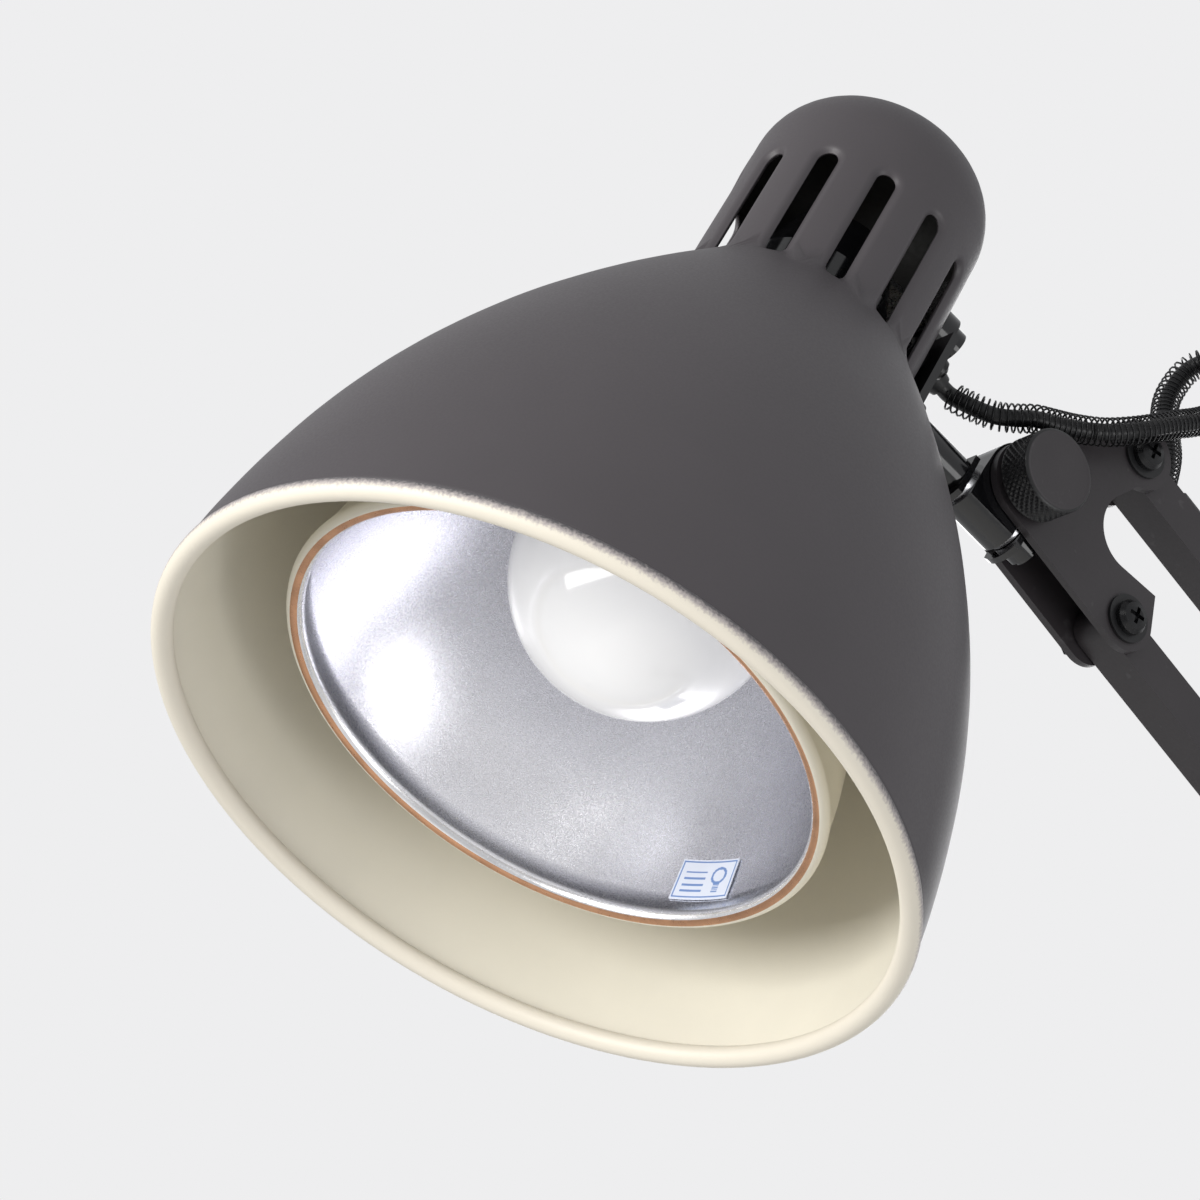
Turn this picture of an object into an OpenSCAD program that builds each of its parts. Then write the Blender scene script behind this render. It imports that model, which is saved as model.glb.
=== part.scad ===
// Swing arm desk lamp on a screw clamp.
// A spun metal shade with an inner reflector hangs from two parallelogram arms of square
// tube.  The arms are balanced by springs and carry a cord in spring guards.
// Origin: middle of the clamp's upper jaw, on the desk surface.  The head reaches to -X.

/* [Shade] */
// Outside diameter of the shade's mouth
mouth_d = 175; // [150:1:200]
// Outside diameter of the ventilated cap
cap_d = 57; // [50:1:64]
// Height of the shade from its mouth to the cap's top
shade_h = 199; // [180:1:215]
// Thickness of the spun sheet
sheet_t = 1; // [0.8:0.1:1.5]
// Lean of the shade's axis from vertical, in degrees
shade_tilt = 31.5; // [0:0.5:60]
// Number of vent slots round the cap
slot_count = 9; // [4:1:9]
// Width of a vent slot
slot_w = 5; // [3:0.1:6]
// Diameter of the reflector's mouth
reflector_d = 126; // [110:1:134]
// Diameter of the lamp bulb
bulb_d = 60; // [50:1:62]

/* [Arms] */
// Distance between the lower arm's pivots
lower_arm_len = 360; // [280:1:450]
// Distance between the upper arm's pivots
upper_arm_len = 380; // [300:1:450]
// Angle of the lower arm above the horizontal, leaning back
lower_arm_angle = 62; // [40:1:90]
// Angle at which the upper arm rises towards the head
upper_arm_angle = 39; // [10:1:60]
// Side of the square arm tube
tube_w = 10; // [8:0.5:10]
// Wall of the arm tube
tube_wall = 1; // [0.8:0.1:1.5]

/* [Brackets] */
// Thickness of the folded sheet brackets
plate_t = 2; // [1.5:0.1:2.5]
// Diameter of the pivot bolts
bolt_d = 5; // [4:0.1:5]
// Outside diameter of the plastic pivot bushes
bush_d = 11.5; // [10:0.1:12]
// Diameter of the tilt knob
knob_d = 20; // [16:0.5:22]
// Thickness of the tilt knob
knob_t = 9; // [7:0.1:10]
// Diameter of the head's stem
stem_d = 10; // [8:0.1:11]

/* [Clamp] */
// Width of the clamp's jaw
jaw_w = 44; // [36:1:60]
// Thickness of the desk that the clamp holds
desk_t = 25; // [10:1:40]
// Diameter of the swivel spindle
spindle_d = 12; // [10:0.1:14]
// Diameter of the clamp screw
screw_d = 10; // [8:0.1:12]

/* [Cord] */
// Diameter of the cord
cord_d = 4.4; // [4:0.1:5]
// Outside diameter of the cord's spring guard
guard_d = 7; // [6.5:0.1:9]

/* [Hidden] */
$fn = 64;
paint = [0.235, 0.225, 0.235];
gloss_black = [0.05, 0.05, 0.055];
steel = [0.72, 0.72, 0.74];
brass = [0.80, 0.66, 0.36];
black = [0.08, 0.08, 0.085];
white = [0.97, 0.97, 0.98];

run_gap = 0.05;                       // radial clearance of a running fit
side_gap = 0.5;                       // between a tube and a bracket plate
plate_in = tube_w / 2 + side_gap;     // inner face of a bracket plate
plate_out = plate_in + plate_t;
bush_lip = 0.8;
bush_face = plate_out + bush_lip;
spindle_x = 14;
pan_r = bolt_d / 2 + 1.6;
pan_h = 2.8;
nut_r = bolt_d / 2 + 2.1;             // across the nut's corners
spring_r = 5.5;                       // balance spring, outside
spring_y = plate_out + 0.5 + spring_r;
hook_half = spring_y + 5.5;           // ends of the pins that the springs hook on
hook_r = 2;

// Arm geometry in the XZ plane: [x, z]
base_pivot = [spindle_x, 70];
low_crank = [-34, 12];                // to the lower arm's second pivot
elbow = base_pivot + lower_arm_len * [cos(lower_arm_angle), sin(lower_arm_angle)];
up_pivot = elbow + [6, 34];           // lower pivot of the upper arm
up_crank = [7.2, 41.3];               // to the upper arm's second pivot
head = up_pivot + upper_arm_len * [-cos(upper_arm_angle), sin(upper_arm_angle)];
knob_off = [-28.9, 26.7];             // from the head's lower pivot to the tilt pivot
tilt = head + knob_off;
tilt_r = 65.4;                        // tilt pivot in the shade's frame
tilt_h = 90;
stem_h = 81.7;                        // stem axis in the shade's frame
shade_o = tilt - tilt_r * [cos(shade_tilt), -sin(shade_tilt)]
               - tilt_h * [sin(shade_tilt), cos(shade_tilt)];

// Shade profile, measured from the bulb's centre along the axis
mouth_r = mouth_d / 2;
cap_r = cap_d / 2;
mouth_h = -62;
top_h = mouth_h + shade_h;
plate_x = cap_r + 0.7;                // inner face of the neck plate
bead_r = 2.4;

// ---------- helpers

// Children drawn in a plane seen from -Y, with x along X and y along Z, are given a
// thickness from y0 to y1.
module slab(y0, y1) {
    translate([0, y1, 0])
        rotate([90, 0, 0])
            linear_extrude(y1 - y0)
                children();
}

module at(p) {
    translate([p[0], 0, p[1]])
        children();
}

// A frame at p whose X axis rises by the given angle
module along(p, angle) {
    at(p)
        rotate([0, -angle, 0])
            children();
}

module in_shade() {
    at(shade_o)
        rotate([0, shade_tilt, 0])
            children();
}

// A round bar on the Y axis
module bar_y(r, y0, y1) {
    translate([0, y1, 0])
        rotate([90, 0, 0])
            cylinder(r = r, h = y1 - y0);
}

// A round bar on the X axis
module bar_x(r, x0, x1) {
    translate([x0, 0, 0])
        rotate([0, 90, 0])
            cylinder(r = r, h = x1 - x0);
}

module stadium(length, r) {
    translate([0, -r])
        square([length, 2 * r]);
    circle(r);
    translate([length, 0])
        circle(r);
}

// A closed square tube with rounded ends, from pivot to pivot, with a steel sleeve at
// each pivot
module arm_tube(length) {
    r = tube_w / 2;
    bore = bolt_d / 2 + run_gap;
    difference() {
        union() {
            difference() {
                slab(-r, r)
                    stadium(length, r);
                slab(-r + tube_wall, r - tube_wall)
                    stadium(length, r - tube_wall);
            }
            for (x = [0, length])
                translate([x, 0, 0])
                    bar_y(bolt_d / 2 + 1, -r + tube_wall / 2, r - tube_wall / 2);
        }
        for (x = [0, length])
            translate([x, 0, 0])
                bar_y(bore, -r - 1, r + 1);
    }
}

module pan_bolt() {
    difference() {
        union() {
            bar_y(bolt_d / 2, -bush_face - 1, bush_face + 3.4);
            translate([0, -bush_face - run_gap, 0])
                rotate([90, 0, 0])
                    rotate_extrude()
                        polygon([[0, 0], [pan_r, 0], [pan_r, pan_h * 0.45],
                                 [pan_r * 0.8, pan_h * 0.85], [pan_r * 0.45, pan_h], [0, pan_h]]);
        }
        translate([0, -bush_face - pan_h, 0])
            for (turn = [0, 90])
                rotate([0, turn + 20, 0])
                    cube([4.2, 2.6, 1], center = true);
    }
}

module hex_nut() {
    difference() {
        translate([0, bush_face + 3.1, 0])
            rotate([90, 0, 0])
                cylinder(r = nut_r, h = 3, $fn = 6);
        bar_y(bolt_d / 2 + run_gap, bush_face - 1, bush_face + 5);
    }
}

// Two flanged bushes, one in each plate
module bush_pair() {
    for (side = [0, 180])
        rotate([0, 0, side])
            difference() {
                union() {
                    bar_y(bush_d / 2, plate_out + run_gap, bush_face);
                    bar_y(bush_d / 2 - 1.2, plate_in - 0.35, plate_out + 0.2);
                }
                bar_y(bolt_d / 2 + run_gap, 0, bush_face + 1);
            }
}

// Holes for the bushes in a pair of plates
module bush_holes(points) {
    for (p = points)
        at(p)
            bar_y(bush_d / 2 - 1.15, -plate_out - 1, plate_out + 1);
}

module lobes(points, radius) {
    hull()
        for (p = points)
            translate(p)
                circle(radius);
}

// Smooth curve through the points, as a list of places
function spline_point(a, b, c, d, t) =
    0.5 * ((2 * b) + (c - a) * t + (2 * a - 5 * b + 4 * c - d) * t * t
           + (3 * b - a - 3 * c + d) * t * t * t);
function spline(pts, per) =
    [for (i = [0 : len(pts) - 2])
        for (k = [0 : per - 1])
            spline_point(i == 0 ? 2 * pts[0] - pts[1] : pts[i - 1], pts[i], pts[i + 1],
                         i == len(pts) - 2 ? 2 * pts[i + 1] - pts[i] : pts[i + 2], k / per),
     pts[len(pts) - 1]];
function unit(v) = v / norm(v);
function heading(p, i) = unit(p[min(i + 1, len(p) - 1)] - p[max(i - 1, 0)]);
function side_of(h) = abs(h[2]) > 0.9 ? unit(cross(h, [1, 0, 0])) : unit(cross(h, [0, 0, 1]));
// Side vectors carried along the curve so that the tube doesn't twist
function carried(p, i) =
    i == 0 ? side_of(heading(p, 0))
           : let (s = carried(p, i - 1), h = heading(p, i)) unit(s - h * (s * h));

// One closed tube of radius r along the curve
module cord_tube(path, r, sides = 10) {
    n = len(path);
    rings = [for (i = [0 : n - 1])
                let (h = heading(path, i), u = carried(path, i), v = cross(h, u))
                    for (k = [0 : sides - 1])
                        path[i] + r * (u * cos(360 * k / sides) + v * sin(360 * k / sides))];
    walls = [for (i = [0 : n - 2])
                for (k = [0 : sides - 1])
                    let (m = (k + 1) % sides)
                        [i * sides + k, (i + 1) * sides + k, (i + 1) * sides + m, i * sides + m]];
    ends = [[for (k = [0 : sides - 1]) k],
            [for (k = [sides - 1 : -1 : 0]) (n - 1) * sides + k]];
    polyhedron(points = rings, faces = concat(walls, ends), convexity = 6);
}

// ---------- clamp (root)

jaw_z = 1.5;
frame_t = 5.5;
spine_x = 32;
foot_z = -70;
boss_top = 30;
bush_r = spindle_d / 2 + 3;
boss_r = bush_r + 4;
screw_x = -2;
foot_boss_z = -56;

module clamp_frame() {
    color(paint)
        difference() {
            union() {
                translate([-30, -jaw_w / 2, jaw_z])
                    cube([spine_x + 36, jaw_w, frame_t]);
                translate([spine_x, -jaw_w / 2 + 3, foot_z])
                    cube([6, jaw_w - 6, jaw_z + frame_t - foot_z]);
                translate([screw_x - 12, -15, foot_z])
                    cube([spine_x + 6 - screw_x + 12, 30, 6]);
                translate([screw_x, 0, foot_z - 4])
                    cylinder(r = screw_d / 2 + 5, h = foot_boss_z - foot_z + 4);
                translate([spindle_x, 0, jaw_z])
                    cylinder(r = boss_r, h = boss_top - jaw_z);
            }
            translate([spindle_x, 0, jaw_z + 3])
                cylinder(r = bush_r + 0.02, h = boss_top);
            translate([screw_x, 0, foot_z - 6])
                cylinder(r = screw_d / 2 + run_gap, h = 30);
            // lightening hole in the spine
            translate([spine_x - 1, 0, -34])
                rotate([0, 90, 0])
                    cylinder(r = 9, h = 10);
        }
}

module jaw_pad() {
    color(black)
        translate([-28, -jaw_w / 2 + 2, 0])
            cube([spine_x + 26, jaw_w - 4, jaw_z - 0.02]);
}

module spindle_bush() {
    color(black)
        translate([spindle_x, 0, 0])
            difference() {
                union() {
                    translate([0, 0, jaw_z + 3.05])
                        cylinder(r = bush_r, h = boss_top - jaw_z - 3);
                    translate([0, 0, boss_top + 0.05])
                        cylinder(r = boss_r - 1, h = 1.6);
                }
                translate([0, 0, jaw_z])
                    cylinder(r = spindle_d / 2 + run_gap, h = boss_top + 10);
            }
}

clip_at = [-14, 17.5, 7.05];
cord_h = 5;                            // height of the cord's axis above the jaw in the clip

module cord_clip() {
    color(black)
        translate(clip_at)
            difference() {
                union() {
                    translate([-8, -4.5, 0])
                        cube([16, 9, 6]);
                    translate([0, 0, cord_h])
                        bar_x(4.5, -8, 8);
                    // tapered strain relief
                    translate([-8, 0, cord_h])
                        rotate([0, -90, 0])
                            cylinder(r1 = 4.2, r2 = 3.2, h = 24);
                }
                translate([0, 0, cord_h])
                    bar_x(cord_d / 2 + 0.1, -40, 20);
                translate([7, 0, cord_h])
                    bar_x(cord_d / 2 + 0.4, 0, 4);
            }
}

// ---------- free mains lead, lying on the desk

coil_c = [-128, 40];
coil_r = 26;                           // middle of the turns
bundle_half = 2.02 * cord_d;           // four turns side by side at the bottom
bundle_top = 1.02 * cord_d;            // two on top
bundle_h = 2.76 * cord_d;              // three layers
tie_t = 0.8;
tie_w = 9;

mains_route = [
    [-34, 17.5, 12.05], [-42, 17.5, 12.05], [-49, 17.5, 11.6], [-56, 17.5, 9.6],
    [-63, 17.5, 6.4], [-70, 18.2, 3.4], [-77, 20.6, 2.4], [-83, 25.2, 2.3],
    [-87.6, 31.6, 2.5], [-89.8, 38.5, 2.9]];
plug_route = [
    [-164.2, 56.8, 3.6], [-168.8, 47.6, 2.4], [-172.4, 38.5, 2.3], [-174.1, 29.5, 2.9],
    [-174.5, 21, 5.2], [-174.4, 13.6, 7.9], [-174.3, 7.9, 9]];
plug_at = [-174.3, -19.6, 9];

module mains_cord() {
    color(black) {
        cord_tube(spline(mains_route, 2), cord_d / 2);
        cord_tube(spline(plug_route, 2), cord_d / 2);
    }
}

// Outline of the coiled turns, standing on the tie's strap, grown sideways and downwards
module bundle_shape(grow = 0, drop = 0) {
    low = tie_t + 0.1;
    high = low + bundle_h + grow;
    polygon([[-bundle_half - grow, low - drop], [bundle_half + grow, low - drop],
             [bundle_half + grow, low + cord_d], [bundle_top + grow, high],
             [-bundle_top - grow, high], [-bundle_half - grow, low + cord_d]]);
}

module cord_coil() {
    color(black)
        translate([coil_c[0], coil_c[1], 0])
            rotate_extrude()
                translate([coil_r, 0])
                    bundle_shape();
}

module cord_tie() {
    slack = 0.5;
    color(black)
        translate([coil_c[0] - coil_r, coil_c[1], 0])
            slab(-tie_w / 2, tie_w / 2)
                difference() {
                    bundle_shape(slack + tie_t, tie_t + 0.05);
                    bundle_shape(slack, 0.05);
                }
}

plug_half = 13;

module plug_body() {
    color(black)
        translate(plug_at) {
            translate([-12, -plug_half, -8.5])
                cube([24, 2 * plug_half - 4, 17]);
            translate([0, 9, 0])
                rotate([-90, 0, 0])
                    cylinder(r1 = 8, r2 = 4.2, h = 18);
        }
}

module plug_blades() {
    color(steel)
        for (x = [-6.35, 6.35])
            translate([plug_at[0] + x - 0.75, plug_at[1] - plug_half - 17, plug_at[2] - 3.15])
                cube([1.5, 16.9, 6.3]);
}

// ---------- clamp screw and pad

pad_top = -desk_t;
pad_t = 4;
screw_bottom = -112;

module pressure_pad() {
    color(paint)
        translate([screw_x, 0, 0])
            difference() {
                union() {
                    translate([0, 0, pad_top - pad_t])
                        cylinder(r = 16, h = pad_t);
                    translate([0, 0, pad_top - pad_t - 5])
                        cylinder(r = 8, h = 6);
                }
                translate([0, 0, pad_top - pad_t - 6])
                    cylinder(r = 4.05, h = 7);
            }
}

module clamp_screw() {
    color(steel)
        translate([screw_x, 0, 0])
            difference() {
                union() {
                    translate([0, 0, screw_bottom])
                        cylinder(r = screw_d / 2, h = pad_top - pad_t - 5.4 - screw_bottom);
                    translate([0, 0, pad_top - pad_t - 6])
                        cylinder(r = 4, h = 6.5);
                    translate([0, 0, screw_bottom - 12])
                        cylinder(r = 7.5, h = 13);
                }
                translate([0, 0, screw_bottom - 5.5])
                    bar_x(3.05, -20, 20);
            }
}

module clamp_handle() {
    color(steel)
        translate([screw_x, 0, screw_bottom - 5.5]) {
            bar_x(3, -32, 32);
            for (x = [-36, 32])
                bar_x(4.4, x, x + 4);
        }
}

// ---------- swivelling base bracket

floor_z = 32.2;
floor_t = 3;
low_hook = base_pivot + [-20, 10];

module base_plate_shape() {
    difference() {
        union() {
            lobes([base_pivot, base_pivot + low_crank], 9);
            hull() {
                translate(base_pivot)
                    circle(9);
                translate(low_hook)
                    circle(6);
                translate([spindle_x - 14, floor_z])
                    square([30, 4]);
            }
        }
        translate(base_pivot + [2, -20])
            circle(6.5);
    }
}

module base_bracket() {
    color(paint)
        difference() {
            union() {
                slab(-plate_out, -plate_in)
                    base_plate_shape();
                slab(plate_in, plate_out)
                    base_plate_shape();
                translate([spindle_x, 0, floor_z])
                    cylinder(r = 15, h = floor_t);
                translate([spindle_x - 13.9, -plate_out + 0.5, floor_z])
                    cube([29.8, 2 * plate_out - 1, floor_t]);
            }
            bush_holes([base_pivot, base_pivot + low_crank]);
            at(low_hook)
                bar_y(hook_r + run_gap, -plate_out - 1, plate_out + 1);
            translate([spindle_x, 0, floor_z - 1])
                cylinder(r = spindle_d / 2 - 1.5, h = floor_t + 2);
        }
}

module spindle() {
    color(steel) {
        translate([spindle_x, 0, jaw_z + 6])
            cylinder(r = spindle_d / 2, h = floor_z - jaw_z - 6.1);
        translate([spindle_x, 0, floor_z - 0.2])
            cylinder(r = spindle_d / 2 - 1.55, h = floor_t + 1);
        translate([spindle_x, 0, floor_z + floor_t + 0.1])
            cylinder(r = plate_in - 0.3, h = 3);
        // spring pin through the plates
        at(low_hook)
            bar_y(hook_r, -hook_half, hook_half);
    }
}

module base_bolts() {
    color(black)
        for (p = [base_pivot, base_pivot + low_crank])
            at(p)
                pan_bolt();
}

module base_nuts() {
    color(black)
        for (p = [base_pivot, base_pivot + low_crank])
            at(p)
                hex_nut();
}

module base_bushes() {
    color(black)
        for (p = [base_pivot, base_pivot + low_crank])
            at(p)
                bush_pair();
}

// ---------- lower arm

low_pin_at = 150;
low_dir = [cos(lower_arm_angle), sin(lower_arm_angle)];
low_pin = base_pivot + low_pin_at * low_dir;

module lower_tube() {
    color(paint)
        along(base_pivot, lower_arm_angle)
            difference() {
                arm_tube(lower_arm_len);
                translate([low_pin_at, 0, 0])
                    bar_y(hook_r + 0.02, -tube_w, tube_w);
            }
}

module lower_link() {
    color(paint)
        along(base_pivot + low_crank, lower_arm_angle)
            arm_tube(lower_arm_len);
}

// One balance spring from pin to pin, lying along X, length measured between the pins
module balance_spring(length) {
    eye_r = 3.4;
    wire = 0.8;
    body_from = length * 0.16;
    body_to = length * 0.84;
    difference() {
        bar_x(spring_r, body_from, body_to);
        bar_x(spring_r - 1.6, body_from + 1, body_to - 1);
    }
    bar_x(wire, eye_r, body_from + 0.5);
    bar_x(wire, body_to - 0.5, length - eye_r);
    for (x = [0, length])
        translate([x, 0, 0])
            rotate([90, 0, 0])
                rotate_extrude()
                    translate([eye_r, 0])
                        circle(wire, $fn = 16);
}

module spring_pair(from, to) {
    d = to - from;
    for (y = [-spring_y, spring_y])
        translate([0, y, 0])
            along(from, atan2(d[1], d[0]))
                balance_spring(norm(d));
}

module lower_springs() {
    color(steel)
        spring_pair(low_hook, low_pin);
}

module spring_pin(p) {
    stop = hook_half - 1.5;
    at(p) {
        bar_y(hook_r, -stop, stop);
        for (y = [-stop - 1.2, stop])
            bar_y(hook_r + 1.2, y, y + 1.2);
    }
}

module lower_spring_pin() {
    color(steel)
        spring_pin(low_pin);
}

// Half-round cover on a tube's side, along X, open at both ends for the cord
module cord_cover(from, to) {
    r = 3.6;
    base = tube_w / 2 + 0.05;
    difference() {
        union() {
            translate([0, 0, base + 0.4])
                bar_x(r, from, to);
            translate([from, -r, base])
                cube([to - from, 2 * r, 0.8]);
        }
        translate([0, 0, base + 0.4])
            bar_x(cord_d / 2 + 0.3, from - 1, to + 1);
        translate([from - 2, -10, base - 10])
            cube([to - from + 4, 20, 10]);
    }
}

cover_from = 16.5;
low_cover = [46, lower_arm_len - 40];
up_cover = [cover_from, upper_arm_len - 44];

module lower_cord_cover() {
    color(black)
        along(base_pivot, lower_arm_angle)
            mirror([0, 0, 1])
                cord_cover(low_cover[0], low_cover[1]);
}

// ---------- elbow

up_hook = up_pivot + [2, 20];

module elbow_shape() {
    difference() {
        union() {
            lobes([elbow, elbow + low_crank, up_pivot], 9);
            lobes([up_pivot, up_pivot + up_crank], 9);
            lobes([elbow, up_pivot + up_crank], 9);
        }
        translate(elbow + [-10, 14])
            circle(5.5);
    }
}

module elbow_bracket() {
    low = elbow;
    high = up_pivot + up_crank;
    d = high - low;
    color(paint)
        difference() {
            union() {
                slab(-plate_out, -plate_in)
                    elbow_shape();
                slab(plate_in, plate_out)
                    elbow_shape();
                // web along the back edge
                along(low, atan2(d[1], d[0]))
                    translate([4, -plate_out + 0.5, -9])
                        cube([norm(d) - 8, 2 * plate_out - 1, 2]);
            }
            bush_holes([elbow, elbow + low_crank, up_pivot, up_pivot + up_crank]);
            at(up_hook)
                bar_y(hook_r + run_gap, -plate_out - 1, plate_out + 1);
        }
}

elbow_points = [elbow, elbow + low_crank, up_pivot, up_pivot + up_crank];

module elbow_bolts() {
    color(black)
        for (p = elbow_points)
            at(p)
                pan_bolt();
}

module elbow_nuts() {
    color(black)
        for (p = elbow_points)
            at(p)
                hex_nut();
    color(steel)
        at(up_hook)
            bar_y(hook_r, -hook_half, hook_half);
}

module elbow_bushes() {
    color(black)
        for (p = elbow_points)
            at(p)
                bush_pair();
}

// ---------- upper arm

up_pin_at = 130;
up_pin = up_pivot + up_pin_at * [-cos(upper_arm_angle), sin(upper_arm_angle)];

module upper_tube() {
    color(paint)
        along(head + up_crank, -upper_arm_angle)
            arm_tube(upper_arm_len);
}

module upper_link() {
    color(paint)
        along(head, -upper_arm_angle)
            difference() {
                arm_tube(upper_arm_len);
                translate([upper_arm_len - up_pin_at, 0, 0])
                    bar_y(hook_r + 0.02, -tube_w, tube_w);
            }
}

module upper_springs() {
    color(steel)
        spring_pair(up_hook, up_pin);
}

module upper_spring_pin() {
    color(steel)
        spring_pin(up_pin);
}

module upper_cord_cover() {
    color(black)
        along(head + up_crank, -upper_arm_angle)
            cord_cover(up_cover[0], up_cover[1]);
}

// ---------- head bracket

knob_lobe = 9.5;
low_lobe = 7.6;
up_lobe = 8.5;

module head_shape() {
    difference() {
        union() {
            hull() {
                translate(head)
                    circle(low_lobe);
                translate(tilt)
                    circle(knob_lobe);
                translate(head + up_crank)
                    circle(up_lobe);
            }
        }
        // rounded cutout between the arm pivots
        difference() {
            hull() {
                translate(head + [3.4, 21])
                    circle(9.6);
                translate(head + [24, 10])
                    circle(9);
                translate(head + [24, 34])
                    circle(9);
            }
            translate(head)
                circle(low_lobe);
            translate(head + up_crank)
                circle(up_lobe);
        }
    }
}

module head_bracket() {
    d = tilt - head;
    lean = atan2(d[1], d[0]) - asin((knob_lobe - low_lobe) / norm(d));
    color(paint)
        difference() {
            union() {
                slab(-plate_out, -plate_in)
                    head_shape();
                slab(plate_in, plate_out)
                    head_shape();
                // web along the lower left edge
                along(head, lean)
                    translate([1, -plate_out + 0.3, -low_lobe])
                        cube([23, 2 * plate_out - 0.6, 1.9]);
            }
            bush_holes([head, head + up_crank]);
            at(tilt)
                bar_y(3.05, -20, 20);
        }
}

head_points = [head, head + up_crank];

module head_bolts() {
    color(black)
        for (p = head_points)
            at(p)
                pan_bolt();
}

module head_nuts() {
    color(black)
        for (p = head_points)
            at(p)
                hex_nut();
}

module head_bushes() {
    color(black)
        for (p = head_points)
            at(p)
                bush_pair();
}

// ---------- tilt clamp

knob_back = plate_out + 1.5;
knob_face = knob_back + knob_t;
stud_r = 3;

module knob_stud() {
    color(steel)
        at(tilt) {
            bar_y(stud_r, -knob_face + 2.5, plate_out + 2);
            // cap head at the back
            bar_y(5.2, plate_out + 0.05, plate_out + 4);
            // washer under the knob
            difference() {
                bar_y(6.5, -knob_back + 0.1, -plate_out - 0.05);
                bar_y(stud_r - 0.5, -knob_back, -plate_out);
            }
        }
}

module tension_knob() {
    color(gloss_black)
        at(tilt)
            difference() {
                union() {
                    bar_y(knob_d / 2, -knob_face + 0.8, -knob_back);
                    bar_y(knob_d / 2 - 0.9, -knob_face, -knob_back);
                }
                bar_y(stud_r + run_gap, -knob_face + 2, 0);
            }
}

block_half = plate_in - 0.3;
block_from = 55;
block_to = 69.4;
pin_r = 2.7;
flange_top = 5;                        // above the stem's axis

module tilt_shape() {
    difference() {
        hull() {
            translate([tilt_r, tilt_h])
                circle(10);
            translate([block_from, stem_h - 4])
                square([block_to - block_from, 8]);
        }
        // room for the rear washer, flange and nut
        translate([block_to, stem_h - 12])
            square([20, 12 + flange_top + 0.3]);
    }
}

module tilt_block() {
    color(gloss_black)
        in_shade()
            difference() {
                union() {
                    slab(-block_half, block_half)
                        tilt_shape();
                    intersection() {
                        translate([0, 0, stem_h])
                            bar_x(6.5, block_from, block_to);
                        translate([block_from, -block_half, stem_h - 10])
                            cube([block_to - block_from, 2 * block_half, 20]);
                    }
                }
                translate([tilt_r, 0, tilt_h])
                    bar_y(stud_r + run_gap, -20, 20);
                translate([0, 0, stem_h])
                    bar_x(pin_r + run_gap, 40, 90);
            }
}

module ring_x(r_out, r_in, x0, x1) {
    difference() {
        bar_x(r_out, x0, x1);
        bar_x(r_in, x0 - 1, x1 + 1);
    }
}

washer_r = flange_top;

module stem_washers() {
    color(steel)
        in_shade()
            translate([0, 0, stem_h]) {
                ring_x(washer_r, pin_r + run_gap, block_from - 1.4, block_from - 0.05);
                ring_x(washer_r, pin_r + run_gap, block_to + 0.05, block_to + 1.4);
            }
}

// Stem from the neck plate, with a thinner pin through the tilt block
stem_from = plate_x + 2;
stem_to = 51.6;
collar_t = 1.5;
pin_to = 76;

module stem() {
    color(gloss_black)
        in_shade()
            translate([0, 0, stem_h])
                difference() {
                    union() {
                        bar_x(stem_d / 2, stem_from, stem_to);
                        bar_x(pin_r, stem_to - 1, pin_to);
                    }
                    // keyway flat near the end
                    translate([stem_to - 9, -1.4, stem_d / 2 - 1])
                        cube([7, 2.8, 2]);
                }
}

// Flanges either side of the tilt block, keyed to it
module stem_collars() {
    color(gloss_black)
        in_shade()
            translate([0, 0, stem_h])
                for (x = [stem_to + 0.1, block_to + 1.6])
                    intersection() {
                        ring_x(7.8, pin_r + run_gap, x, x + collar_t);
                        translate([x - 1, -block_half, -9])
                            cube([collar_t + 2, 2 * block_half, 9 + flange_top]);
                    }
}

module stem_nut() {
    color(gloss_black)
        in_shade()
            translate([0, 0, stem_h])
                difference() {
                    union() {
                        bar_x(4.6, block_to + 1.7 + collar_t, block_to + 5.6 + collar_t);
                        bar_x(3.8, block_to + 4, block_to + 6.6 + collar_t);
                    }
                    bar_x(pin_r + 0.02, 0, pin_to + 0.1);
                }
}

// ---------- shade

// Profile of the bell from the neck to the mouth, as [share of the way out from the cap's
// radius to the mouth's, share of the height]
bell_form = [[0, 0.697], [0.022, 0.6818], [0.0661, 0.6641], [0.1695, 0.6237], [0.2966, 0.5707],
             [0.4186, 0.5152], [0.5339, 0.4581], [0.6407, 0.397], [0.7305, 0.3384],
             [0.8085, 0.2778], [0.8763, 0.2121], [0.9305, 0.1414], [0.9712, 0.0707],
             [0.9915, 0.0152]];
bell = [for (p = bell_form) [cap_r + (mouth_r - cap_r) * p[0], mouth_h + shade_h * p[1]]];
cap_round = 18;

function cap_arc(r, h, a0, a1, steps) =
    [for (i = [0 : steps])
        let (a = a0 + (a1 - a0) * i / steps)
            [r - cap_round + cap_round * cos(a), h - cap_round + cap_round * sin(a)]];

module shade_profile() {
    outer = concat([[0, top_h]], cap_arc(cap_r - 0.5, top_h, 90, 0, 10), bell);
    inner = [for (i = [len(bell) - 1 : -1 : 0]) [bell[i][0] - sheet_t * 1.15, bell[i][1] - 0.3]];
    polygon(concat(outer, inner,
                   cap_arc(cap_r - 0.5 - sheet_t, top_h - sheet_t, 0, 90, 10),
                   [[0, top_h - sheet_t]]));
}

module vent_slot() {
    low = 77.5;
    high = 105.5;
    translate([10, 0, low])
        rotate([0, 90, 0])
            rotate([0, 0, 180])
                linear_extrude(50)
                    stadium(high - low, slot_w / 2);
}

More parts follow.
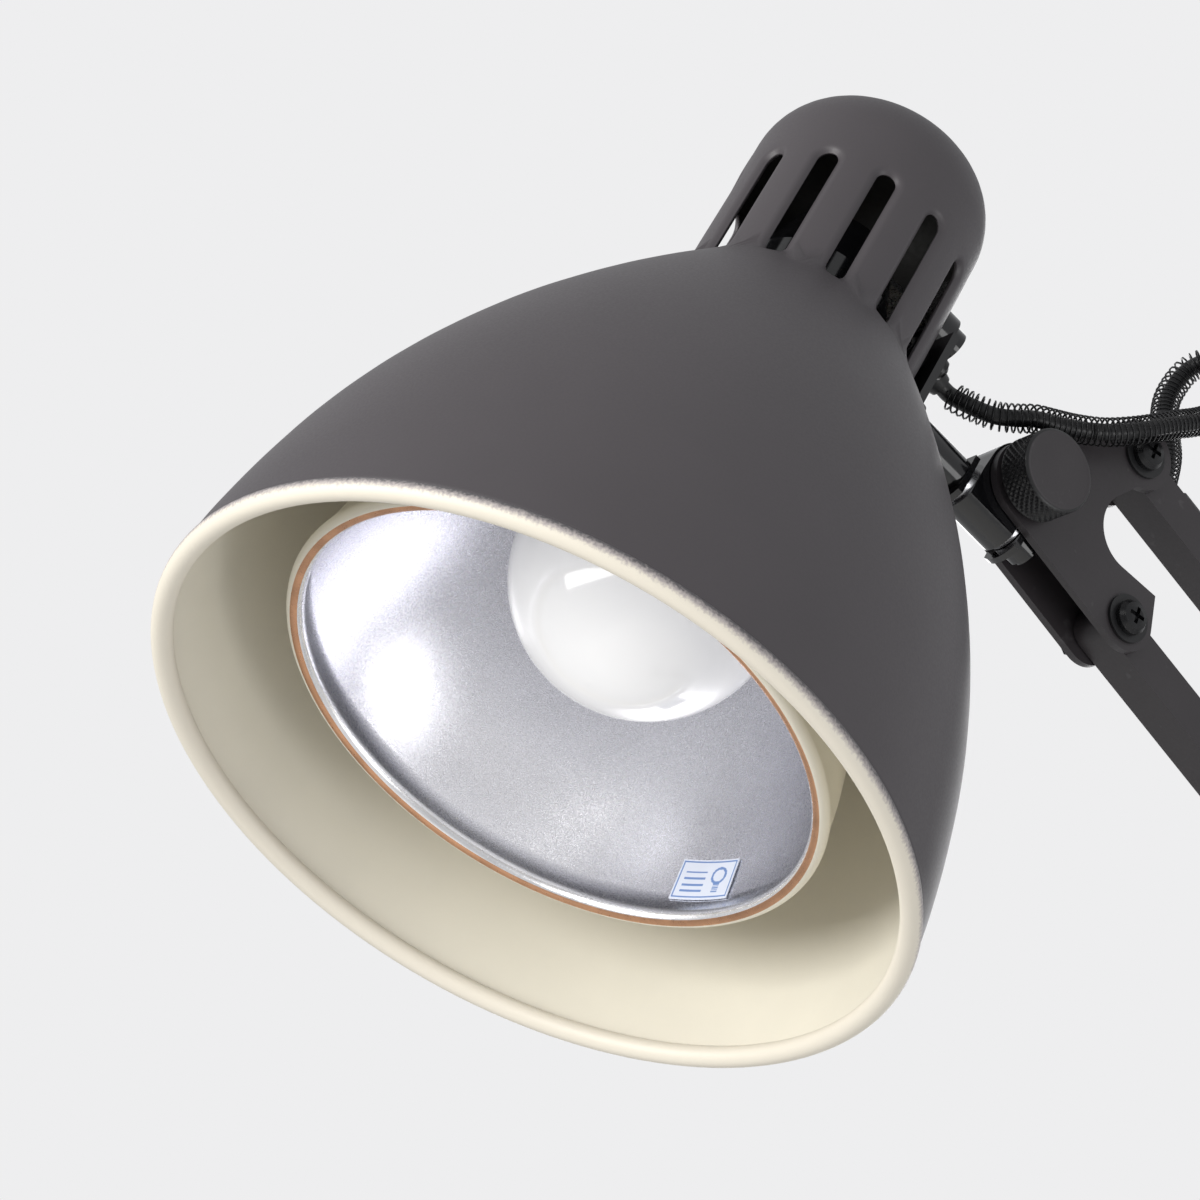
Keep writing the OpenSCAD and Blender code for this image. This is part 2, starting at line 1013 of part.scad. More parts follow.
module shade() {
    color(paint)
        in_shade()
            difference() {
                union() {
                    rotate_extrude($fn = 96)
                        shade_profile();
                    // rolled bead round the mouth
                    rotate_extrude($fn = 96)
                        translate([mouth_r - bead_r, mouth_h + bead_r])
                            circle(bead_r, $fn = 24);
                }
                for (i = [0 : slot_count - 1])
                    rotate([0, 0, -51 - 30 * i])
                        vent_slot();
                // cord hole
                translate([0, 0, gland_h])
                    bar_x(3.7, 20, 40);
            }
}

refl_r = reflector_d / 2;
refl_h = -44;
refl_neck = 19;
refl_form = [[0, 50], [0.1856, 43], [0.3944, 31], [0.6032, 14], [0.7889, -7], [0.9397, -28],
             [1, refl_h + 2.2]];
refl = [for (p = refl_form) [refl_neck + (refl_r - 1.4 - refl_neck) * p[0], p[1]]];

// The reflector hangs from its neck, a little crooked
module in_reflector() {
    in_shade()
        translate([0, 0, refl_form[0][1]])
            rotate([0.4, 1.7, 0])
                translate([0, 0, -refl_form[0][1]])
                    children();
}

module reflector() {
    color(steel)
        in_reflector() {
            rotate_extrude($fn = 96)
                polygon(concat(refl, [for (i = [len(refl) - 1 : -1 : 0]) refl[i] + [0.9, 0.5]]));
            rotate_extrude($fn = 96)
                translate([refl_r - 2, refl_h + 2])
                    circle(2, $fn = 24);
        }
}

// Curved sticker inside the reflector, near its mouth
label_from = 9;
label_angle = 15;

module warning_label() {
    top = -27.2;
    low = -36.9;
    r_top = refl_r - 4.4;
    r_low = refl_r - 2.4;
    color(white)
        in_reflector()
            rotate([0, 0, label_from])
                rotate_extrude(angle = label_angle)
                    polygon([[r_top, top], [r_low, low], [r_low - 0.25, low], [r_top - 0.25, top]]);
}

module neck_plate() {
    color(gloss_black)
        in_shade()
            difference() {
                translate([plate_x, -11, 76.5])
                    cube([2, 22, 26]);
                translate([0, 0, gland_h])
                    bar_x(3.7, 20, 40);
            }
}

neck_points = [[-7.9, 94], [7.9, 94], [-8.4, 79.5], [8.4, 79.5]];

module neck_screws() {
    color(black)
        in_shade()
            for (p = neck_points)
                translate([0, p[0], p[1]])
                    rotate([0, 90, 0])
                        translate([0, 0, plate_x + 2.1])
                            rotate_extrude()
                                polygon([[0, 0], [3, 0], [2.8, 1.1], [1.8, 2], [0, 2.3]]);
}

gland_h = 98;

module cord_gland() {
    color(black)
        in_shade()
            translate([0, 0, gland_h])
                difference() {
                    union() {
                        bar_x(3.6, cap_r - 3, plate_x + 2.1);
                        bar_x(4.8, plate_x + 2.05, plate_x + 4.5);
                        translate([plate_x + 4.4, 0, 0])
                            rotate([0, 90, 0])
                                cylinder(r1 = 4, r2 = cord_d / 2 + 0.5, h = 4.5);
                    }
                    bar_x(cord_d / 2 + 0.1, 10, 60);
                }
}

switch_h = 109.5;

module switch_body() {
    color(gloss_black)
        in_shade()
            translate([0, 1, switch_h])
                difference() {
                    bar_x(5.6, cap_r - 0.2, cap_r + 4.5);
                    bar_x(4.3, cap_r + 1, cap_r + 9);
                }
}

module switch_button() {
    color(gloss_black)
        in_shade()
            translate([0, 1, switch_h])
                bar_x(4.2, cap_r + 3.2, cap_r + 8);
}

// ---------- lampholder and bulb

socket_top = 104;
shell_r = 14.2;

module socket_body() {
    color(gloss_black)
        in_shade()
            difference() {
                union() {
                    translate([0, 0, 56])
                        cylinder(r = 17.5, h = 34);
                    translate([0, 0, 89.9])
                        cylinder(r1 = 17.5, r2 = 13, h = socket_top - 89.9);
                }
                translate([0, 0, 50])
                    cylinder(r = shell_r + 0.7, h = 36);
            }
}

module socket_shell() {
    color(brass)
        in_shade() {
            difference() {
                translate([0, 0, 57])
                    cylinder(r = shell_r + 0.6, h = 26);
                translate([0, 0, 56])
                    cylinder(r = shell_r, h = 30);
            }
            translate([0, 0, 83.2])
                cylinder(r = 4, h = 2.6);
        }
}

// Strap that carries the lampholder from the cap's inside
module socket_strap() {
    color(steel)
        in_shade() {
            difference() {
                translate([-9, -5.5, socket_top + 0.1])
                    cube([cap_r - 2.2 + 9, 11, 1.5]);
                translate([-2, 0, socket_top - 1])
                    cylinder(r = 3, h = 5);
            }
            translate([cap_r - 3.7, -5, socket_top + 0.1])
                cube([1.5, 10, 14]);
        }
}

globe_r = bulb_d / 2;
neck_r = 15;

module bulb_globe() {
    color(white)
        in_shade()
            rotate_extrude($fn = 96)
                polygon(concat([for (a = [-90 : 7.5 : 40]) globe_r * [cos(a), sin(a)]],
                               [[neck_r + 3.5, 30], [neck_r, 40], [neck_r - 1.4, 52], [0, 52]]));
}

module bulb_cap() {
    color(steel)
        in_shade() {
            translate([0, 0, 52.1])
                cylinder(r = 13.2, h = 24);
            translate([0, 0, 76])
                cylinder(r1 = 12, r2 = 5, h = 5);
            translate([0, 0, 80.9])
                cylinder(r = 4, h = 2);
        }
}

// ---------- guarded cord loops

function from_shade(x, y, z) =
    [shade_o[0] + x * cos(shade_tilt) + z * sin(shade_tilt), y,
     shade_o[1] - x * sin(shade_tilt) + z * cos(shade_tilt)];
function from_bulb(x, y, z) = [shade_o[0] + x, y, shade_o[1] + z];
function from_elbow(x, y, z) = [elbow[0] + x, y, elbow[1] + z];

head_route = [
    from_shade(38.9, 0, 98.1), from_shade(41.5, -0.3, 98), from_bulb(89.9, -3.6, 59),
    from_bulb(93.9, -6.8, 56.8), from_bulb(98.2, -9.3, 56.4),
    from_bulb(102.1, -10.8, 56.7), from_bulb(107, -11.4, 56.6),
    from_bulb(112.4, -11.8, 56.6), from_bulb(117.8, -12.6, 56.8),
    from_bulb(122.7, -14, 57.2), from_bulb(131, -15.4, 59.2),
    from_bulb(141.7, -14.6, 63.1), from_bulb(152.3, -12.8, 67), from_bulb(161.2, -10.6, 72),
    from_bulb(168.5, -7.5, 80), from_bulb(173.5, -2.5, 88), from_bulb(174.5, 4.5, 92.5),
    from_bulb(171.5, 10.5, 91.2), from_bulb(167, 12.6, 84.6), from_bulb(163, 10.6, 77),
    from_bulb(159.5, 6.4, 69.5), from_bulb(155.6, 2.2, 62.2), from_bulb(151.6, 0, 54.7)];
elbow_route = [
    from_elbow(-10.6, 0, -38.7), from_elbow(-7.1, 0.4, -33.4),
    from_elbow(-1.5, 1.6, -28.6), from_elbow(7, 3.4, -24.3), from_elbow(16.9, 5.2, -21.2),
    from_elbow(27, 6.8, -14.8), from_elbow(35.5, 7.8, -4), from_elbow(41, 8.2, 10),
    from_elbow(43.6, 8.4, 26), from_elbow(44, 8.4, 42), from_elbow(42, 8.2, 58),
    from_elbow(37.5, 7.6, 73), from_elbow(30, 6.4, 86), from_elbow(19.6, 4.6, 95.5),
    from_elbow(8.6, 2.6, 99.9), from_elbow(-1.8, 1, 103), from_elbow(-9.4, 0.2, 106.1),
    from_elbow(-14.9, 0, 109.9)];
base_route = [
    [44.6, 0, 106], [50, 6, 96], [52, 14, 84], [50, 22, 70], [44, 28, 55], [36, 30.5, 41],
    [27, 29, 28], [17, 25, 19], [7, 20.5, 14.2], [-1, 17.8, 12.3], [-5.6, 17.5, 12.05]];

module head_cord_loop() {
    color(black)
        cord_tube(spline(head_route, 3), guard_d / 2);
}

module elbow_cord_loop() {
    color(black)
        cord_tube(spline(elbow_route, 3), guard_d / 2);
}

module base_cord_loop() {
    color(black)
        cord_tube(spline(base_route, 3), guard_d / 2);
}

// ---------- selection

clamp_frame();
jaw_pad();
spindle_bush();
cord_clip();
mains_cord();
cord_coil();
cord_tie();
plug_body();
plug_blades();
pressure_pad();
clamp_screw();
clamp_handle();
base_bracket();
spindle();
base_bolts();
base_nuts();
base_bushes();
lower_tube();
lower_link();
lower_springs();
lower_spring_pin();
lower_cord_cover();
elbow_bracket();
elbow_bolts();
elbow_nuts();
elbow_bushes();
upper_tube();
upper_link();
upper_springs();
upper_spring_pin();
upper_cord_cover();
head_bracket();
head_bolts();
head_nuts();
head_bushes();
knob_stud();
tension_knob();
tilt_block();
stem_washers();
stem();
stem_collars();
stem_nut();
shade();
reflector();
warning_label();
neck_plate();
neck_screws();
cord_gland();
switch_body();
switch_button();
socket_body();
socket_shell();
socket_strap();
bulb_globe();
bulb_cap();
head_cord_loop();
elbow_cord_loop();
base_cord_loop();
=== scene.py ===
"""Swing arm desk lamp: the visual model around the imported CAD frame, in metres."""

import math

import bmesh
import bpy
from mathutils import Matrix, Vector


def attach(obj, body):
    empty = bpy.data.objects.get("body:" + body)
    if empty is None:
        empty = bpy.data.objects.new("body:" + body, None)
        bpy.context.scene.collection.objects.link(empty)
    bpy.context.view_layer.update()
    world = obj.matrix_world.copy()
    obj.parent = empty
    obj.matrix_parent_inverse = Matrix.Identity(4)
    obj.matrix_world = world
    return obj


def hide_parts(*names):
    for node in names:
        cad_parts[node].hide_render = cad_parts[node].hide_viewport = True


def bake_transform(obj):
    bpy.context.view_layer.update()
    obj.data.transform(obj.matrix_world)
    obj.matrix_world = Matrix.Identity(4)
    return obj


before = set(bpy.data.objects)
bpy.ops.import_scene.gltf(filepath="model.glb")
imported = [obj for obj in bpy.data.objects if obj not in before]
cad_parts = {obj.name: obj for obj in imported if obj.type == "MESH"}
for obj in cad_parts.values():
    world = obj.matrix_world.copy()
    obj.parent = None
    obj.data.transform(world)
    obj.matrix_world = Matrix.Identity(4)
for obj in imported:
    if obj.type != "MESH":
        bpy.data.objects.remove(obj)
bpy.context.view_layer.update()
MM = 0.001

# ---------- places shared with the CAD source, in millimetres

BASE_PIVOT = (14, 70)
LOW_ANGLE, UP_ANGLE, SHADE_TILT = (math.radians(a) for a in (62, 39, 31.5))
LOW_LENGTH, UP_LENGTH = 360, 380
TILT_OUT, TILT_UP = 65.4, 90  # from the bulb's centre to the tilt pivot, along the shade's own axes
ELBOW = (BASE_PIVOT[0] + LOW_LENGTH * math.cos(LOW_ANGLE),
         BASE_PIVOT[1] + LOW_LENGTH * math.sin(LOW_ANGLE))
UP_PIVOT = (ELBOW[0] + 6, ELBOW[1] + 34)
HEAD = (UP_PIVOT[0] - UP_LENGTH * math.cos(UP_ANGLE),
        UP_PIVOT[1] + UP_LENGTH * math.sin(UP_ANGLE))
TILT = (HEAD[0] - 28.9, HEAD[1] + 26.7)
SIN, COS = math.sin(SHADE_TILT), math.cos(SHADE_TILT)
SHADE_O = (TILT[0] - TILT_OUT * COS - TILT_UP * SIN, TILT[1] + TILT_OUT * SIN - TILT_UP * COS)
SHADE_FRAME = (Matrix.Translation((SHADE_O[0] * MM, 0, SHADE_O[1] * MM))
               @ Matrix.Rotation(SHADE_TILT, 4, "Y"))
CORD_D, GUARD_D = 4.4, 7.0


def from_shade(x, y, z):
    """A point of the shade's own frame, in the frame of the whole lamp."""
    return (SHADE_O[0] + x * COS + z * SIN, y, SHADE_O[1] - x * SIN + z * COS)


def offset(origin, points):
    """Points moved by an origin in the XZ plane."""
    return [(origin[0] + x, y, origin[1] + z) for x, y, z in points]


# ---------- camera, as fitted to the photograph

right, up, back = (0.7965, -0.6046, 0.0), (-0.1918, -0.2527, 0.9482), (-0.5733, -0.7553, -0.3173)
camera_data = bpy.data.cameras.new("camera")
camera_data.lens = 155.13
camera_data.sensor_width = 36
camera = bpy.data.objects.new("camera", camera_data)
bpy.context.scene.collection.objects.link(camera)
bulb = Vector((SHADE_O[0] * MM, 0, SHADE_O[1] * MM))  # the camera and the lights are set from here
place = bulb - (Vector(right) * 0.01023 + Vector(up) * 0.00395 - Vector(back) * 1.1)
camera.matrix_world = Matrix(((right[0], up[0], back[0], place.x),
                              (right[1], up[1], back[1], place.y),
                              (right[2], up[2], back[2], place.z), (0, 0, 0, 1)))
bpy.context.scene.camera = camera
bpy.context.scene.view_settings.view_transform = "Standard"


# ---------- materials

def socket_defaults(shader, values):
    for name, value in values.items():
        shader.inputs[name].default_value = value


def new_material(name):
    m = bpy.data.materials.new(name)
    m.use_nodes = True
    nodes = m.node_tree.nodes
    return m, nodes, m.node_tree.links, nodes["Principled BSDF"]


def noise_node(nodes, links, coords, scale, detail=3.0, stretch=None):
    n = nodes.new("ShaderNodeTexNoise")
    n.inputs["Scale"].default_value = scale
    n.inputs["Detail"].default_value = detail
    if stretch:
        mapping = nodes.new("ShaderNodeMapping")
        mapping.inputs["Scale"].default_value = stretch
        links.new(coords, mapping.inputs["Vector"])
        coords = mapping.outputs["Vector"]
    links.new(coords, n.inputs["Vector"])
    return n.outputs["Fac"]


def ramp(nodes, links, value, stops):
    r = nodes.new("ShaderNodeValToRGB")
    while len(r.color_ramp.elements) < len(stops):
        r.color_ramp.elements.new(0.5)
    for e, (at, colour) in zip(r.color_ramp.elements, stops):
        e.position = at
        e.color = (*colour, 1)
    links.new(value, r.inputs["Fac"])
    return r.outputs["Color"]


def map_range(nodes, links, value, low, high, to_low, to_high):
    m = nodes.new("ShaderNodeMapRange")
    for key, v in zip(("From Min", "From Max", "To Min", "To Max"), (low, high, to_low, to_high)):
        m.inputs[key].default_value = v
    links.new(value, m.inputs["Value"])
    return m.outputs["Result"]


def bump(nodes, links, height, strength, distance, shader):
    b = nodes.new("ShaderNodeBump")
    b.inputs["Strength"].default_value = strength
    b.inputs["Distance"].default_value = distance
    links.new(height, b.inputs["Height"])
    links.new(b.outputs["Normal"], shader.inputs["Normal"])


def finish_material(name, colour, rough, vary=0.12, patch=60.0, grain=900.0, grain_depth=0.00004,
                    rough_vary=0.08, stretch=None, wear=None, **sockets):
    """A surface with patches of slightly different colour and gloss, a fine grain, and, where
    wear is a colour, small rubbed spots."""
    m, nodes, links, shader = new_material(name)
    coords = nodes.new("ShaderNodeTexCoord").outputs["Object"]
    patches = noise_node(nodes, links, coords, patch, 5.0, stretch)
    dark = [c * (1 - vary) for c in colour]
    light = [min(1, c * (1 + vary)) for c in colour]
    tone = ramp(nodes, links, patches, [(0.3, dark), (0.7, light)])
    if wear:
        spots = noise_node(nodes, links, coords, 260.0, 8.0)
        mask = map_range(nodes, links, spots, 0.66, 0.74, 0, 1)
        mix = nodes.new("ShaderNodeMixRGB")
        mix.inputs["Color2"].default_value = (*wear, 1)
        links.new(mask, mix.inputs["Fac"])
        links.new(tone, mix.inputs["Color1"])
        tone = mix.outputs["Color"]
    links.new(tone, shader.inputs["Base Color"])
    fine = noise_node(nodes, links, coords, grain, 2.0, stretch)
    links.new(map_range(nodes, links, fine, 0.3, 0.7, rough - rough_vary, rough + rough_vary),
              shader.inputs["Roughness"])
    bump(nodes, links, fine, 0.5, grain_depth, shader)
    socket_defaults(shader, sockets)
    return m


BLACK_COAT = {"Coat Weight": 0.4, "Coat Roughness": 0.08}
MATERIALS = {
    "paint_grey": finish_material("paint_grey", (0.04, 0.035, 0.038), 0.42, 0.10, 40, 1400, 0.00003,
                                  0.05, wear=(0.06, 0.055, 0.058)),
    "shade_grey": finish_material("shade_grey", (0.064, 0.057, 0.062), 0.46, 0.06, 22, 1700, 0.00003,
                                  0.04),
    "gloss_black": finish_material("gloss_black", (0.006, 0.006, 0.007), 0.14, 0.2, 60, 700, 0.00001,
                                   0.04, **BLACK_COAT),
    "black_steel": finish_material("black_steel", (0.008, 0.008, 0.009), 0.3, 0.25, 120, 1100, 0.00002,
                                   0.07, wear=(0.03, 0.03, 0.033), Metallic=0.2),
    "black_plastic": finish_material("black_plastic", (0.011, 0.011, 0.012), 0.4, 0.12, 70, 1500,
                                     0.00003),
    "cord_black": finish_material("cord_black", (0.009, 0.009, 0.01), 0.36, 0.15, 90, 1300, 0.00002),
    "rubber": finish_material("rubber", (0.03, 0.03, 0.03), 0.7, 0.2, 90, 900, 0.00006),
    "steel": finish_material("steel", (0.6, 0.6, 0.62), 0.3, 0.1, 150, 900, 0.00001, 0.08,
                             stretch=(1, 1, 6), Metallic=1.0),
    "nickel": finish_material("nickel", (0.7, 0.69, 0.68), 0.18, 0.06, 90, 1200, 0.00001, 0.05,
                              Metallic=1.0),
    "brass": finish_material("brass", (0.7, 0.5, 0.2), 0.28, 0.12, 120, 900, 0.00001, 0.08,
                             Metallic=1.0),
    "reflector_alu": finish_material("reflector_alu", (0.86, 0.86, 0.9), 0.27, 0.04, 60, 2200, 0.00001,
                                     0.05, Metallic=1.0),
    # painted glow: the bulb is off, and a faint emission brightens its opal glass
    "opal_glass": finish_material("opal_glass", (0.9, 0.9, 0.91), 0.13, 0.015, 14, 500, 0.000004, 0.02,
                                  **{"Coat Weight": 0.6, "Coat Roughness": 0.03, "IOR": 1.5,
                                     "Emission Color": (1, 1, 1, 1), "Emission Strength": 0.14}),
    "cream": finish_material("cream", (0.8, 0.76, 0.65), 0.42, 0.03, 30, 1500, 0.00003, 0.05,
                             **{"Coat Weight": 0.15, "Coat Roughness": 0.25}),
    "copper": finish_material("copper", (0.62, 0.34, 0.2), 0.32, 0.15, 140, 1100, 0.00001, 0.08,
                              Metallic=1.0),
    "lip_silver": finish_material("lip_silver", (0.86, 0.86, 0.88), 0.24, 0.05, 120, 1100, 0.00001,
                                  0.05, Metallic=0.85),
    # painted shade: the inside of the cap is given a dark colour where it lies in shade
    "painted_shade_dark": finish_material("painted_shade_dark", (0.02, 0.019, 0.018), 0.6, 0.1, 60, 900, 0.00003),
    "label_blue": finish_material("label_blue", (0.16, 0.27, 0.55), 0.4, 0.05, 80, 900, 0.00001),
    "label_white": finish_material("label_white", (0.72, 0.76, 0.86), 0.38, 0.03, 80, 900, 0.00001),
}


def bead_material():
    """Cream rolled bead whose outer edge carries a speckled dark overspray."""
    m, nodes, links, shader = new_material("bead_overspray")
    coords = nodes.new("ShaderNodeTexCoord").outputs["Object"]
    spray = nodes.new("ShaderNodeAttribute")
    spray.attribute_name = "overspray"
    speck = noise_node(nodes, links, coords, 1500, 3)
    total = nodes.new("ShaderNodeMath")
    links.new(spray.outputs["Fac"], total.inputs[0])
    links.new(map_range(nodes, links, speck, 0.3, 0.7, -0.16, 0.16), total.inputs[1])
    mask = map_range(nodes, links, total.outputs[0], 0.2, 0.95, 0, 1)
    tones = [(0, (0.74, 0.69, 0.59)), (0.5, (0.42, 0.38, 0.37)), (1, (0.1, 0.094, 0.1))]
    links.new(ramp(nodes, links, mask, tones), shader.inputs["Base Color"])
    bump(nodes, links, speck, 0.4, 0.00004, shader)
    shader.inputs["Roughness"].default_value = 0.45
    return m


MATERIALS["bead"] = bead_material()


# ---------- mesh helpers

def make(name, verts, faces, materials, matrix=None, index=None, smooth=True):
    """A mesh object from vertices in millimetres, placed by matrix."""
    mesh = bpy.data.meshes.new(name)
    mesh.from_pydata([tuple(c * MM for c in v) for v in verts], [], faces)
    if matrix is not None:
        mesh.transform(matrix)
    mesh.update()
    for m in materials:
        mesh.materials.append(MATERIALS[m])
    if index:
        mesh.polygons.foreach_set("material_index", index)
    mesh.polygons.foreach_set("use_smooth", [smooth] * len(mesh.polygons))
    obj = bpy.data.objects.new(name, mesh)
    bpy.context.scene.collection.objects.link(obj)
    return obj


def grid_faces(rows, columns, wrap=False, first=0):
    """Quads between rows of vertices, each row holding the given number of columns."""
    last = columns if wrap else columns - 1
    return [(first + r * columns + c, first + r * columns + (c + 1) % columns,
             first + (r + 1) * columns + (c + 1) % columns, first + (r + 1) * columns + c)
            for r in range(rows - 1) for c in range(last)]


def lathe(name, profile, materials, matrix, zone=None, steps=144, closed=False):
    """A profile of (radius, height) turned about Z. Zone names the material index of a step."""
    verts, faces, index = [], [], []
    for r, z in profile:
        for k in range(steps):
            a = 2 * math.pi * k / steps
            verts.append((r * math.cos(a), r * math.sin(a), z))
    rows = len(profile)
    for i in range(rows if closed else rows - 1):
        for k in range(steps):
            m = (k + 1) % steps
            j = (i + 1) % rows
            faces.append((i * steps + k, i * steps + m, j * steps + m, j * steps + k))
            index.append(zone(i) if zone else 0)
    return make(name, verts, faces, materials, matrix, index)


def catmull(points, per):
    """Smooth curve through the points, as in the CAD source."""
    p = [Vector(q) for q in points]
    p = [2 * p[0] - p[1]] + p + [2 * p[-1] - p[-2]]
    out = []
    for i in range(1, len(p) - 2):
        a, b, c, d = p[i - 1:i + 3]
        for k in range(per):
            t = k / per
            out.append(0.5 * (2 * b + (c - a) * t + (2 * a - 5 * b + 4 * c - d) * t * t
                              + (3 * b - a - 3 * c + d) * t * t * t))
    out.append(p[-2])
    return out


def carried_frames(path):
    """Each point of a path with two directions across it, carried along without twist."""
    frames, side = [], None
    for i, p in enumerate(path):
        heading = (path[min(i + 1, len(path) - 1)] - path[max(i - 1, 0)]).normalized()
        if side is None:
            axis = Vector((1, 0, 0)) if abs(heading.z) > 0.9 else Vector((0, 0, 1))
            side = heading.cross(axis).normalized()
        else:
            side = (side - heading * side.dot(heading)).normalized()
        frames.append((p, side, heading.cross(side)))
    return frames


def tube(name, path, radius, material, sides=16):
    """A closed round tube along a path in millimetres."""
    verts = []
    for p, u, v in carried_frames(path):
        for k in range(sides):
            a = 2 * math.pi * k / sides
            verts.append(tuple(p + radius * (u * math.cos(a) + v * math.sin(a))))
    faces = grid_faces(len(path), sides, wrap=True)
    faces.append(tuple(range(sides - 1, -1, -1)))
    faces.append(tuple((len(path) - 1) * sides + k for k in range(sides)))
    return make(name, verts, faces, [material])


def along_length(path):
    """Running length at each point of a path."""
    out = [0.0]
    for a, b in zip(path, path[1:]):
        out.append(out[-1] + (b - a).length)
    return out


def helix(path, radius, pitch, per_turn):
    """Points of a helix wound round a path."""
    frames, run = carried_frames(path), along_length(path)
    count = int(run[-1] / pitch * per_turn)
    out, i = [], 0
    for k in range(count + 1):
        s = run[-1] * k / count
        while i < len(run) - 2 and run[i + 1] < s:
            i += 1
        t = (s - run[i]) / (run[i + 1] - run[i])
        p, u, v = (a.lerp(b, t) for a, b in zip(frames[i], frames[i + 1]))
        a = 2 * math.pi * k / per_turn
        out.append(p + radius * (u.normalized() * math.cos(a) + v.normalized() * math.sin(a)))
    return out


def place_piece(obj, body, slot, *nodes):
    """A piece on its body, in place of the CAD nodes that it stands in for. The slot is not used."""
    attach(obj, body)
    if nodes:
        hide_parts(*nodes)
    return obj


# ---------- cords: the mains lead, then the guarded loops over the joints

MAINS = [(-46, 17.5, 12.05), (-49, 17.5, 11.6), (-56, 17.5, 9.6), (-63, 17.5, 6.4), (-70, 18.2, 3.4),
         (-77, 20.6, 2.4), (-83, 25.2, 2.3), (-87.6, 31.6, 2.5)]
PLUG_LEAD = [(-168.8, 47.6, 2.4), (-172.4, 38.5, 2.3), (-174.1, 29.5, 2.9),
             (-174.5, 21, 5.2), (-174.4, 13.6, 7.9), (-174.3, 7.9, 9)]
COIL_C = (-128, 40)
COIL_STEP, COIL_END = 10, 2690  # degrees
LOW_Z, MID_Z, TOP_Z = 3.1, 6.91, 11.31  # heights of the layers
OVER_Z = 7.5  # where a turn crosses the one below it


def coil_points():
    """Turns wound side by side, inwards on the desk, outwards on those, then off the top.
    Each entry is (angle in degrees, radius, height)."""
    keys = [(0, 38.2, 2.9), (35, 35.6, 3.1), (70, 32.6, LOW_Z)]
    for turn, r in enumerate((28.2, 23.8, 19.4)):
        start = 360 * (turn + 1)
        keys += [(start, r + CORD_D, LOW_Z), (start + 60, r, LOW_Z)]
    keys += [(1380, 19.4, LOW_Z), (1410, 20.0, 5.3), (1440, 21.6, MID_Z)]
    r = 21.6
    for turn in (4, 5, 6):
        start = 360 * turn
        keys += [(start + 8, r, OVER_Z), (start + 52, r, OVER_Z), (start + 66, r, MID_Z)]
        if turn < 6:
            keys += [(start + 234, r, MID_Z), (start + 244, r, OVER_Z),
                     (start + 296, r + CORD_D, OVER_Z), (start + 306, r + CORD_D, MID_Z)]
            r += CORD_D
    keys += [(2396, 30.4, MID_Z), (2412, 31.2, 8.9), (2428, 31.0, 11.1), (2446, 29.8, 12.0),
             (2462, 28.4, 11.3), (2490, 28.2, 10.72), (2518, 28.2, 10.9), (2532, 28.2, TOP_Z),
             (2574, 28.2, TOP_Z), (2600, 28.2, 10.72), (2615, 28.4, 10.9), (2630, 30.4, 11.6),
             (2645, 33.6, 10.6), (2660, 36.6, 7.2), (2675, 39.3, 3.8), (2690, 41.4, 2.4)]
    out, i = [], 0
    for step in range(0, COIL_END + 1, COIL_STEP):
        while i < len(keys) - 2 and keys[i + 1][0] <= step:
            i += 1
        (a0, r0, z0), (a1, r1, z1) = keys[i:i + 2]
        t = min(1, (step - a0) / (a1 - a0))
        t = t * t * (3 - 2 * t) if a1 - a0 > 40 else t
        a = math.radians(step)
        r, z = r0 + (r1 - r0) * t, z0 + (z1 - z0) * t
        out.append((COIL_C[0] + r * math.cos(a), COIL_C[1] + r * math.sin(a), z))
    return out


lead_path = catmull(MAINS + coil_points() + PLUG_LEAD, 2)
lead = tube("mains_lead", lead_path, CORD_D / 2, "cord_black", 14)
place_piece(lead, "clamp", "cord_black", "mains_cord", "cord_coil")

PLUG_AT = (-174.3, -19.6, 9)
PLUG_SIDES = 40


def superellipse(cx, y, cz, w, h, power):
    """A ring of points across the plug, rounder at a power of 2 and squarer above it."""
    out = []
    for k in range(PLUG_SIDES):
        a = 2 * math.pi * k / PLUG_SIDES
        c, s = math.cos(a), math.sin(a)
        out.append((cx + w * math.copysign(abs(c) ** (2 / power), c), y,
                    cz + h * math.copysign(abs(s) ** (2 / power), s)))
    return out


def plug_sections():
    """Moulded plug: blunt face, waisted grip with ribs, ribbed strain relief.
    Each row is (distance along, half width, half height, power)."""
    rows = [(-13, 10.6, 7.2, 5), (-12.6, 11.6, 8.1, 5), (-11.4, 12, 8.5, 5), (-5, 12, 8.5, 4.5)]
    for k in range(5):
        y = -4 + 2.2 * k
        squeeze = 0.9 * math.sin(math.pi * (k + 0.5) / 5)
        rib = (11.8 - squeeze, 8.4 - squeeze * 0.6, 4)
        groove = (11.2 - squeeze, 7.9 - squeeze * 0.6, 4)
        rows += [(y, *rib), (y + 0.6, *groove), (y + 1.4, *groove), (y + 2, *rib)]
    rows += [(8, 10.8, 8, 3.4), (9.6, 8.2, 7.4, 2.4)]
    for k in range(6):
        y = 10.6 + 2.7 * k
        r = 6.8 - 0.5 * k
        rows += [(y, r, r, 2), (y + 1.5, r - 0.15, r - 0.15, 2), (y + 1.7, r - 1.1, r - 1.1, 2),
                 (y + 2.5, r - 1.1, r - 1.1, 2)]
    rows += [(26.9, 3.4, 3.4, 2), (27, 2.3, 2.3, 2)]
    return rows


